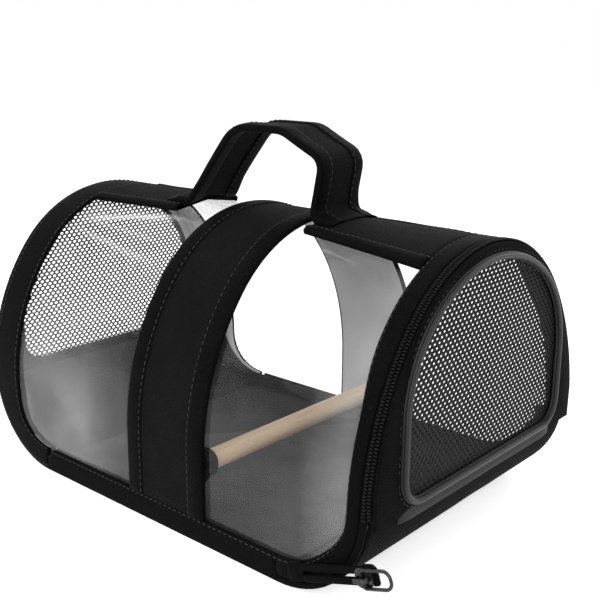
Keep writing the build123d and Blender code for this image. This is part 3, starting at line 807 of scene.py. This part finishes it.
def rounded(points, radii, step=2.5):
    """A path of runs and arcs through corner points in the side view, with outward normals."""
    out = []
    pts = [Vector(p) for p in points]
    cursor = pts[0]
    for k in range(1, len(pts) - 1):
        a, b = (pts[k - 1] - pts[k]).normalized(), (pts[k + 1] - pts[k]).normalized()
        half = a.angle(b) / 2
        reach = radii[k - 1] / (sin(half) / cos(half))
        p0, p1 = pts[k] + a * reach, pts[k] + b * reach
        centre = pts[k] + (a + b).normalized() * (radii[k - 1] / sin(half))
        n = max(1, int((p0 - cursor).length / step))
        out += [cursor.lerp(p0, i / n) for i in range(n)]
        v0, v1 = p0 - centre, p1 - centre
        turn = atan2(v0.x * v1.y - v0.y * v1.x, v0.dot(v1))
        n = max(4, int(abs(turn) * radii[k - 1] / step))
        for i in range(n):
            q = turn * i / n
            out.append(centre + Vector((v0.x * cos(q) - v0.y * sin(q), v0.x * sin(q) + v0.y * cos(q))))
        cursor = p1
    n = max(1, int((pts[-1] - cursor).length / step))
    out += [cursor.lerp(pts[-1], i / n) for i in range(n + 1)]
    framed = []
    for k, p in enumerate(out):
        t = (out[min(k + 1, len(out) - 1)] - out[max(k - 1, 0)]).normalized()
        framed.append((p.x, p.y, -t.y, t.x))
    return framed


top = TALL + 40.4
loop = rounded(
    [(-54, TALL + 3.3), (-38.6, TALL + 3.3), (-8.6, top), (22, top), (46.6, TALL + 29), (41.6, TALL + 3.3), (54, TALL + 3.3)],
    (5.0, 19.0, 16.0, 8.0, 4.0),
)


def on_loop(st, u, d):
    x, z, nx, nz = st
    sag = 0.9 * sin(pi * min(1.0, max(0.0, (z - TALL) / 40.0))) * rough(x, u * 0.2, 5.5, 26.0)
    low = 1.0 - smooth(TALL + 4.0, TALL + 14.0, z)
    u *= 1.0 + 0.1 * low
    # past the seam its raw end is tucked down into the strip
    tuck = 1.0 - 0.75 * smooth(46.0, 53.0, abs(x - 0.5))
    cup = -0.6 * (u / 15.0) ** 2 * (1 - low)
    # where it is sewn down, the strap follows the round of the crown
    drop = low * (CROWN - sqrt(CROWN**2 - u * u))
    d = d * tuck + cup + sag - 0.9 * (1 - tuck)
    return Vector((x + nx * d, u, z + nz * d - drop))


for name, u0, u1, d0, d1, node, mat in (
    ("loop_webbing", -13.8, 13.8, -1.0, 1.0, "handle_strap", BAND),
    ("loop_edge_front", -14.9, -7.1, -1.9, 1.9, "handle_binding_front", BINDING),
    ("loop_edge_rear", 7.1, 14.9, -1.9, 1.9, "handle_binding_rear", BINDING),
):
    made = Bag()
    if mat is BAND:
        profile = tape(u0, u1, d0, d1, 0.4, 0.0, 12)
    else:
        profile = []
        mid, w, h = (u0 + u1) / 2, (u1 - u0) / 2, (d1 - d0) / 2
        for i in range(20):
            a = 2 * pi * i / 20
            c, s_ = cos(a), sin(a)
            profile.append((mid + w * abs(c) ** 0.35 * (1 if c > 0 else -1), h * abs(s_) ** 0.5 * (1 if s_ > 0 else -1)))
    sweep(made, loop, profile, on_loop)
    made.piece(name, mat, "carrier", [node], "webbing" if mat is BAND else "binding")
for u in (-8.3, 8.3):
    for d in (1.75, -1.75):
        line = [on_loop(st, u, d) for st in loop]
        outs = [(on_loop(st, u, d * 1.3) - on_loop(st, u, d)) for st in loop]
        stitches(seams, line, outs)
seams.piece("carrier_stitching", THREAD_AND_EDGE_HIGHLIGHT, "carrier")


# ---------------------------------------------------------------- end panels
P_WIDE, P_LOW, P_TOP, P_CORNER = WIDE - 17.0, 42.0, TALL - 4.5, 12.0
P_SPRING = P_LOW + 0.4 * (P_TOP - P_LOW)
P_HAUNCH = 0.94 * (P_TOP - P_SPRING)
P_CROWN = crown_of(P_WIDE, P_TOP - P_SPRING, P_HAUNCH)
P_HY, P_CZ = P_WIDE - P_HAUNCH, P_TOP - P_CROWN
P_TURN = atan2(P_SPRING - P_CZ, P_HY)


def d_path(step=3.0):
    """Closed D outline as y, z and outward normal, counter-clockwise from the middle of its foot."""
    half = []
    n = int((P_WIDE - P_CORNER) / step)
    half += [((P_WIDE - P_CORNER) * i / n, P_LOW, 0.0, -1.0) for i in range(n)]
    for i in range(7):
        a = -pi / 2 + pi / 2 * i / 6
        half.append((P_WIDE - P_CORNER + P_CORNER * cos(a), P_LOW + P_CORNER + P_CORNER * sin(a), cos(a), sin(a)))
    n = int((P_SPRING - P_LOW - P_CORNER) / step)
    half += [(P_WIDE, P_LOW + P_CORNER + (P_SPRING - P_LOW - P_CORNER) * i / n, 1.0, 0.0) for i in range(1, n)]
    n = int(P_HAUNCH * P_TURN / step)
    half += [
        (P_HY + P_HAUNCH * cos(a), P_SPRING + P_HAUNCH * sin(a), cos(a), sin(a)) for a in (P_TURN * i / n for i in range(n))
    ]
    n = int(P_CROWN * (pi / 2 - P_TURN) / step)
    half += [
        (P_CROWN * cos(a), P_CZ + P_CROWN * sin(a), cos(a), sin(a))
        for a in (P_TURN + (pi / 2 - P_TURN) * i / n for i in range(n + 1))
    ]
    return half + [(-y, z, -ny, nz) for y, z, ny, nz in half[::-1][1:-1]]


D_PATH = d_path()


def inside_d(y, z, inset=0.0):
    if z < P_LOW + inset or z > P_TOP - inset or abs(y) > P_WIDE - inset:
        return False
    y = abs(y)
    if z < P_LOW + P_CORNER and y > P_WIDE - P_CORNER:
        return hypot(y - (P_WIDE - P_CORNER), z - (P_LOW + P_CORNER)) < P_CORNER - inset
    if z > P_SPRING:
        if y > P_HY and atan2(z - P_SPRING, y - P_HY) < P_TURN:
            return hypot(y - P_HY, z - P_SPRING) < P_HAUNCH - inset
        return hypot(y, z - P_CZ) < P_CROWN - inset
    return True


def corner_cut(z):
    """How much narrower the door is towards its rounded lower corners."""
    return 1.2 * smooth(50.0, 40.0, z)


def gusset_edge(foot, outside):
    """Where the normals of the D meet the outer edge of the gusset."""
    edge = []
    for y, z, ny, nz in D_PATH:
        low, high = 0.0, 60.0
        for _ in range(30):
            mid = (low + high) / 2
            py, pz = y + ny * mid, z + nz * mid
            if pz < foot or clear_of(py, pz) > outside:
                high = mid
            else:
                low = mid
        edge.append((y + ny * low, z + nz * low))
    for side in (-1, 1):
        k = min(range(len(edge)), key=lambda i: hypot(edge[i][0] - side * (WIDE + outside), edge[i][1] - foot))
        edge[k] = (side * (WIDE + outside), foot)
    if foot > WALL:
        edge = [(y - (1 if y > 0 else -1) * min(corner_cut(z), max(0.0, abs(y) - 62)), z) for y, z in edge]
    # beyond the sill strip the cloth hangs just past the joint, so no light comes through
    edge = [(y, z - (1.5 * smooth(59.5, 62.0, abs(y)) if z < foot + 0.5 else 0.0)) for y, z in edge]
    return edge


def gusset(name, node, face, out, foot, body):
    """Cloth ring between the rim and the mesh, a little full where it is gathered round the corners."""
    edge = gusset_edge(foot, 1.0)
    n = len(D_PATH)

    def place(i, j, side):
        k = round(i * n) % n
        (y0, z0, _, _), (y1, z1) = D_PATH[k], edge[k]
        y, z = y0 + (y1 - y0) * j, z0 + (z1 - z0) * j
        width = hypot(y1 - y0, z1 - z0)
        puff = min(1.0, width / 12) * sin(pi * j) * (0.7 + 0.9 * rough(y, z, face, 18.0))
        gather = 0.35 * sin(k * 1.9 + 3 * rough(y, z, 2.0, 30.0)) * smooth(0.25, 0.0, abs(j - 0.12)) * min(1.0, width / 8)
        return Vector((face + out * (1.8 * side + (puff + gather) * (1 if side else 0.6)), y, z))

    made = Bag()
    grid(made, n, 10, place, wrap=True)
    if out > 0:
        made.faces = [f[::-1] for f in made.faces]
        made.uvs = [u[::-1] for u in made.uvs]
    piece = made.piece(name, GUSSET, body, [node], "black_fabric")
    # the upper inner face of the far gusset gets the pale colour: painted reflection of the film's glare
    if out < 0:
        piece.data.materials.append(PAINTED_GLARE_GREY)
        for face_ in piece.data.polygons:
            face_.material_index = 1 if face_.normal.x > 0.5 and face_.center.z > 0.085 else 0
    return piece


gusset("far_end_gusset", "far_gusset", -HALF, -1, WALL, "carrier")
gusset("door_panel_gusset", "door_gusset", 124.5, 1, WALL + 0.3, "door")


def net(name, node, mid_x, body, phase, fill):
    """Warp-knitted net: staggered six-sided holes between ridged threads, cut to the D."""
    pitch_y, pitch_z, lift, lip = 3.2, 1.9, 0.33, 0.12
    rows, cols = int((P_TOP - P_LOW) / pitch_z) + 2, int(P_WIDE / pitch_y) + 2
    third = 1 / 3
    corners = [(0.5, third), (0.0, 2 * third), (-0.5, third), (-0.5, -third), (0.0, -2 * third), (0.5, -third)]
    verts, index, faces, border = [], {}, [], {}

    def belly(y, z):
        deep = min(1.0, max(0.0, (P_WIDE - abs(y)) / 25)) * smooth(0, 20, min(z - P_LOW, P_TOP - z))
        return deep * (0.5 * rough(y, z, phase, 40.0))

    def vert(key, y, z, h):
        if key not in index:
            index[key] = len(verts)
            verts.append(Vector((mid_x + h + belly(y, z), y, z)))
        return index[key]

    for r in range(rows):
        z = P_LOW + r * pitch_z
        for c in range(-cols, cols + 1):
            y = (c + 0.5 * (r % 2)) * pitch_y
            if not inside_d(y, z, -0.3):
                continue
            cy, cz = y / pitch_y, r
            outer, hole = [], []
            for k, (a, b) in enumerate(corners):
                oy, oz = y + a * pitch_y, z + b * pitch_z
                key = (round(2 * (cy + a)), round(3 * (cz + b)))
                outer.append([vert((key, side), oy, oz, side * lift) for side in (1, -1)])
                hy, hz = y + a * pitch_y * fill, z + b * pitch_z * fill * 1.05
                hole.append([vert((r, c, k, side), hy, hz, side * lip) for side in (1, -1)])
            for k in range(6):
                q = (k + 1) % 6
                faces.append((outer[k][0], outer[q][0], hole[q][0], hole[k][0]))
                faces.append((hole[k][1], hole[q][1], outer[q][1], outer[k][1]))
                faces.append((hole[k][0], hole[q][0], hole[q][1], hole[k][1]))
                e = (outer[k][0], outer[q][0])
                back = (outer[k][1], outer[q][1])
                if e[::-1] in border:
                    del border[e[::-1]]
                else:
                    border[e] = back
    for (a, b), (c, d) in border.items():
        faces.append((b, a, c, d))
    uvs = [tuple((verts[i].y * MM, verts[i].z * MM) for i in f) for f in faces]
    piece = make(name, verts, faces, uvs, NET, body, [node], "net", soft=False)
    return piece


net("far_end_mesh", "far_net", -123.9, "carrier", 3.0, 0.63)
net("door_mesh", "door_net", 125.4, "door", 6.0, 0.41)


def bead(name, node, face, out, body, mat=PIPING):
    """Piping: a cord in a folded strip, with its sewn lip against the mesh side."""
    made = Bag()
    profile = []
    for i in range(14):
        a = -0.15 * pi + 1.3 * pi * i / 13
        profile.append((1.35 * cos(a), 1.15 + 1.3 * sin(a) * (1.0 if sin(a) > 0 else 0.6)))
    profile += [(-1.75, 0.45), (-1.8, 0.02), (1.8, 0.02), (1.75, 0.45)]
    path = D_PATH if out > 0 else D_PATH[::-1]
    sweep(made, path, profile, lambda st, u, d: Vector((face + out * d, st[0] + st[2] * u, st[1] + st[3] * u)), loop=True)
    piece = made.piece(name, mat, body, [node], "piping")
    line = Bag()
    ring = path + path[:1]
    points = [Vector((face + out * 0.12, y + ny * 2.8, z + nz * 2.8)) for y, z, ny, nz in ring]
    ring_ok = [p if p.z > 40.7 else Vector((p.x, p.y, 40.7)) for p in points]
    stitches(line, ring_ok, [Vector((out, 0, 0))] * len(ring), 3.0, 2.0, 0.24)
    line.piece(name + "_stitching", THREAD_AND_EDGE_HIGHLIGHT, body)
    return piece


bead("far_end_piping", "far_piping", -124.8, -1, "carrier")
bead("door_panel_piping", "door_piping", 126.3, 1, "door")

# ---------------------------------------------------------------- zip
zip_path = [st for st in rim_path(1.5, 1, FLAT) if st[0] >= 103.3]
rim("zip_tape_carrier", "zip_tape_body", "zip_tape", ZIP_TAPE, zip_path, tape(-1.48, 1.48, 0.02, 1.2, 0.3, 0.05))
arch_s = [40.5 + (GIRTH - 81.0) * i / 80 for i in range(81)]
made = Bag()
sweep(made, arch_s, tape(-2.95, 1.15, 0.0, 1.1, 0.35, 0.05), lambda s, u, d: on(123.35 + d, s, u - corner_cut(min(s, GIRTH - s))))
made.piece("zip_tape_of_door", ZIP_TAPE, "door", ["zip_tape_door"], "zip_tape")


def at_foot(s, d):
    """Height over the film of the door's half of the zip, which follows the rounded corners."""
    return d - corner_cut(min(s, GIRTH - s))


def coil(name, node, x0, x1, body, shift):
    """Zip coil: one rounded loop of nylon after another, round the arch."""
    made = Bag()
    s = 43.0 + shift
    while s < GIRTH - 43.0:
        rings = []
        for x, grow in ((x0, 0.7), (x0 + 0.3, 1.0), (x1 - 0.3, 1.0), (x1, 0.7)):
            for i in range(8):
                a = 2 * pi * i / 8
                rings.append(on(x, s + 0.42 * grow * cos(a), (at_foot(s, 1.78) if body == "door" else 1.78) + 0.58 * grow * sin(a)))
        faces = [tuple(range(8))[::-1], tuple(range(24, 32))]
        for g in range(3):
            faces += [(g * 8 + i, g * 8 + (i + 1) % 8, g * 8 + 8 + (i + 1) % 8, g * 8 + 8 + i) for i in range(8)]
        made.add(rings, faces, [tuple((0.001, 0.001) for _ in f) for f in faces])
        s += 1.35
    return made.piece(name, COIL, body, [node], "zip_coil")


coil("zip_coil_carrier", "zip_coil_body", 121.4, 122.95, "carrier", 0.0)
coil("zip_coil_of_door", "zip_coil_door", 123.35, 124.9, "door", 0.68)

# Free tail: tape on the tilted plane, slit for the slider, with a few coils and a sewn root
LIFT = radians(19.5)
TAIL = Vector((88.0, -79.5, 9.4))
T_RUN, T_UP, T_OUT = Vector((cos(LIFT), 0, sin(LIFT))), Vector((-sin(LIFT), 0, cos(LIFT))), Vector((0, -1, 0))


def on_tail(a, b, c):
    return TAIL + T_RUN * a + T_UP * b + T_OUT * c


def tail():
    made = Bag()
    # two lips either side of the slit, joined at both ends
    for side in (1, -1):
        profile = [(0.72, 1.65), (0.75, 2.3), (0.9, 2.95), (2.2, 3.0), (3.3, 2.95), (3.7, 2.7), (3.75, 2.3), (3.7, 1.9), (3.3, 1.6), (1.5, 1.55)]
        stations = [8.0 + 36.3 * i / 24 for i in range(25)]
        if side < 0:
            stations = stations[::-1]
        sweep(made, stations, profile, lambda a, u, d, side=side: on_tail(a, side * u, d))
    for a0, a1 in ((-0.1, 8.05), (44.25, 46.25)):
        outline = [(-3.75, 2.3), (-3.5, 1.7), (0.0, 1.55), (3.5, 1.7), (3.75, 2.3), (3.5, 2.9), (0.0, 3.05), (-3.5, 2.9)]
        n = 6

        def place(k, u, d, a0=a0, a1=a1):
            a = a0 + (a1 - a0) * k / n
            far = a1 > 40 and k > 3
            squeeze = 1.0 - (0.16 * (k - 3) ** 2 / 9 if far else 0.0)
            return on_tail(a, u * squeeze, 2.3 + (d - 2.3) * (1 if not far else 0.9))

        sweep(made, list(range(n + 1))[::-1], outline, place)
    # sewn root against the foot band
    root = [(-3.7, 0.05), (0, 0.02), (3.7, 0.05), (3.7, 2.6), (3.2, 3.05), (0, 3.1), (-3.2, 3.05), (-3.7, 2.6)]
    sweep(made, [6.0, 4.0, 2.0, 0.0], root, lambda a, u, d: on_tail(a, u, d))
    # coils along both lips
    a, k = 9.0, 0
    while a < 36.0:
        for side in (1, -1):
            rings = []
            for b, grow in ((0.8, 0.6), (1.0, 1.0), (1.7, 1.0), (1.9, 0.6)):
                rings += [on_tail(a + 0.42 * grow * cos(t), side * b, 2.3 + 0.78 * grow * sin(t)) for t in (pi * i / 4 for i in range(8))]
            faces = [tuple(range(8))[::-1], tuple(range(24, 32))]
            for g in range(3):
                faces += [(g * 8 + i, g * 8 + (i + 1) % 8, g * 8 + 8 + (i + 1) % 8, g * 8 + 8 + i) for i in range(8)]
            made.add(rings, faces, [tuple((0.001, 0.001) for _ in f) for f in faces])
        a += 1.35
    return made.piece("zip_tail_tape", ZIP_TAPE, "carrier", ["zip_tail"], "zip_tape")


tail()


# ---------------------------------------------------------------- strips at the sills
def sill_strip(name, node, out, x_face, mat, body):
    """Cloth strip over the joint at the foot of an end panel, turned under at its lower edge."""
    made = Bag()
    xs = [-60.3 + 120.6 * i / 40 for i in range(41)]
    high = 40.2 if out < 0 else 41.9
    profile = [(34.6, 0.0), (34.5, 0.8), (34.9, 1.5), (36.5, 1.7), (38.5, 1.65), (high - 0.5, 1.5), (high, 0.9), (high, 0.0)]

    def place(y, u, d):
        thin = 0.3 + 0.7 * smooth(60.5, 53.0, abs(y))
        return Vector((x_face + out * thin * (d + (0.25 * rough(y, u, 3.0, 9.0) if d > 0.7 else 0)), y, u))

    sweep(made, xs if out < 0 else xs[::-1], profile, place)
    return made


far_strip = sill_strip("far", "far_sill_strip", -1, -123.05, HINGE, "carrier")
far_strip.piece("far_sill_cloth", BASE, "carrier", ["far_sill_strip"], "hinge_fabric")
near_strip = sill_strip("near", "door_hinge_strip", 1, 124.4, HINGE, "carrier")
hinge = near_strip.piece("door_fabric_hinge", HINGE, None, ["door_hinge_strip"], "hinge_fabric")
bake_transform(hinge)


# ---------------------------------------------------------------- perch and pockets
def dowel():
    made = Bag()
    profile = [(0.0, 3.8), (0.25, 4.3), (0.8, 4.65), (2.0, 4.73)]
    ys = [-74.6 + a for a, _ in profile] + [-72.0 + 6 * i for i in range(1, 24)] + [74.6 - a for a, _ in profile[::-1]]
    radii = [r for _, r in profile] + [4.72] * 23 + [r for _, r in profile[::-1]]
    stations = list(zip(ys, radii))
    circle = [(2 * pi * i / 40, 0.0) for i in range(40)]

    def place(st, u, d):
        y, r = st
        flat = 1.0 - 0.012 * (1 + rough(cos(u) * 3, sin(u) * 3, y / 30, 1.0)) * smooth(0, 8, 68 - abs(y))
        return Vector((29 + r * flat * cos(u), y, 35 + r * flat * sin(u)))

    sweep(made, stations[::-1], circle, place)
    return made.piece("perch_dowel", WOOD, "perch_rod", ["perch"], "dowel")


dowel()


def pocket(name, node, side):
    """Sewn cloth pocket: a square patch on the wall that turns up into a short sleeve round the dowel's end."""
    made = Bag()
    n = 40
    rings = [(6.45, 76.4, 6), (6.45, 75.6, 5), (6.35, 74.6, 4), (6.2, 72.0, 3), (6.1, 70.0, 3), (6.0, 68.9, 2.4), (5.6, 68.55, 2.2), (5.1, 68.7, 2.0), (4.85, 69.4, 2.0), (4.83, 75.0, 2.0)]
    verts = []
    for size, y, power in rings:
        for i in range(n):
            a = 2 * pi * i / n
            c, s_ = cos(a), sin(a)
            k = (abs(c) ** power + abs(s_) ** power) ** (-1 / power)
            fold = 1.0 + (0.012 * sin(5 * a + y) if 2.3 < power < 4.5 else 0.0)
            verts.append(Vector((29 + size * k * c * fold, side * y, 35 + size * k * s_ * fold)))
    m = len(rings)
    faces = []
    for g in range(m - 1):
        faces += [(g * n + i, g * n + (i + 1) % n, (g + 1) * n + (i + 1) % n, (g + 1) * n + i) for i in range(n)]
    verts.append(Vector((29, side * 75.0, 35)))
    faces += [((m - 1) * n + i, (m - 1) * n + (i + 1) % n, m * n) for i in range(n)]
    verts.append(Vector((29, side * 76.4, 35)))
    faces += [((i + 1) % n, i, m * n + 1) for i in range(n)]
    faces = faces if side > 0 else [f[::-1] for f in faces]
    uvs = [tuple((verts[q].x * MM, verts[q].z * MM) for q in f) for f in faces]
    made.add(verts, faces, uvs)
    return made.piece(name, GUSSET, "carrier", [node], "black_fabric")


pocket("perch_pocket_front_cloth", "perch_pocket_front", -1)
pocket("perch_pocket_rear_cloth", "perch_pocket_rear", 1)

for node in ("zip_slider", "pull_ring"):
    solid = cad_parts[node]
    solid.data.materials.clear()
    solid.data.materials.append(METAL)
    solid.data.polygons.foreach_set("use_smooth", [False] * len(solid.data.polygons))
    edge = solid.modifiers.new("edges", "BEVEL")
    edge.width, edge.segments, edge.limit_method, edge.angle_limit = 0.00018, 2, "ANGLE", radians(35)


# ---------------------------------------------------------------- floor, lights, camera
FLOOR_LIFT = 0.6


def background_rays(g):
    """1 on rays that show the background: seen straight, mirrored or through glass."""
    path = g.node("LightPath")
    mirrored = g.math("MAXIMUM", path.outputs["Is Glossy Ray"], path.outputs["Is Transmission Ray"])
    return g.math("MAXIMUM", path.outputs["Is Camera Ray"], mirrored)


def stage_floor():
    mesh = bpy.data.meshes.new("studio_floor")
    size, n = 4.0, 8
    verts = [(-size + 2 * size * i / n, -size + 2 * size * j / n, -0.0002) for i in range(n + 1) for j in range(n + 1)]
    faces = [(i * (n + 1) + j, (i + 1) * (n + 1) + j, (i + 1) * (n + 1) + j + 1, i * (n + 1) + j + 1) for i in range(n) for j in range(n)]
    mesh.from_pydata(verts, [], faces)
    floor_ = bpy.data.objects.new("studio_floor", mesh)
    bpy.context.scene.collection.objects.link(floor_)
    made, g, out = material("pale_floor")
    place = g.node("TexCoord").outputs["Object"]
    away = g.span(g.node("VectorMath", {0: place}, operation="LENGTH").outputs["Value"], 0.45, 1.6)
    lift = g.math("MULTIPLY_ADD", away, 1.0 - FLOOR_LIFT, FLOOR_LIFT)
    lift = g.math("MULTIPLY", lift, background_rays(g))
    tone = g.blend(away, (0.88, 0.88, 0.88), (0.0, 0.0, 0.0))
    shader = g.node("BsdfPrincipled", {"Base Color": tone, "Emission Strength": lift})
    shader.inputs["Emission Color"].default_value = (1.0, 1.0, 1.0, 1.0)
    shader.inputs["Roughness"].default_value = 0.9
    shader.inputs["Specular IOR Level"].default_value = 0.05
    g.tree.links.new(shader.outputs[0], out.inputs["Surface"])
    mesh.materials.append(made)


stage_floor()


def area_light(name, at, size, power, tone=(1, 1, 1)):
    data = bpy.data.lights.new(name, "AREA")
    data.shape, data.size, data.energy, data.color = "SQUARE", size, power, tone
    lamp = bpy.data.objects.new(name, data)
    lamp.location = at
    lamp.rotation_mode = "QUATERNION"
    lamp.rotation_quaternion = (Vector((0, 0, 0.07)) - Vector(at)).to_track_quat("-Z", "Y")
    bpy.context.scene.collection.objects.link(lamp)


area_light("key_soft", (-0.5, -0.9, 1.1), 1.9, 14)
area_light("side_soft", (1.1, -0.25, 0.7), 0.9, 6)
area_light("back_soft", (0.1, 1.1, 0.9), 1.5, 10)
area_light("front_fill", (0.3, -1.3, 0.4), 1.0, 9)

world = bpy.data.worlds.new("studio")
world.use_nodes = True
world.node_tree.nodes.clear()
g = Graph(world.node_tree)
seen = g.node("Background", {"Color": (1, 1, 1, 1), "Strength": 1.0})
soft = g.node("Background", {"Color": (1, 1, 1, 1), "Strength": 0.44})
mix = g.node("MixShader", {0: background_rays(g), 1: soft.outputs[0], 2: seen.outputs[0]})
out = g.node("OutputWorld", {"Surface": mix.outputs[0]})
bpy.context.scene.world = world
bpy.context.scene.view_settings.view_transform = "Standard"

RIGHT = Vector((0.7526989864, 0.6583361306, 0.0061461476))
DOWN = Vector((0.1773034681, -0.1937090956, -0.9649042785))
AHEAD = Vector((-0.6340407844, 0.7273722056, -0.2625299187))
SHIFT = Vector((-110.846076, 63.621889, 579.438902))
eye = -(RIGHT * SHIFT.x + DOWN * SHIFT.y + AHEAD * SHIFT.z) - Vector((125.0, 0, 0))
data = bpy.data.cameras.new("photo_camera")
data.sensor_width, data.lens = 36.0, 961.24186 * 36.0 / 600.0
data.clip_start, data.clip_end = 0.01, 50.0
camera = bpy.data.objects.new("photo_camera", data)
turn = Matrix((RIGHT, -DOWN, -AHEAD)).transposed().to_4x4()
camera.matrix_world = Matrix.Translation(eye * MM) @ turn
bpy.context.scene.collection.objects.link(camera)
bpy.context.scene.camera = camera
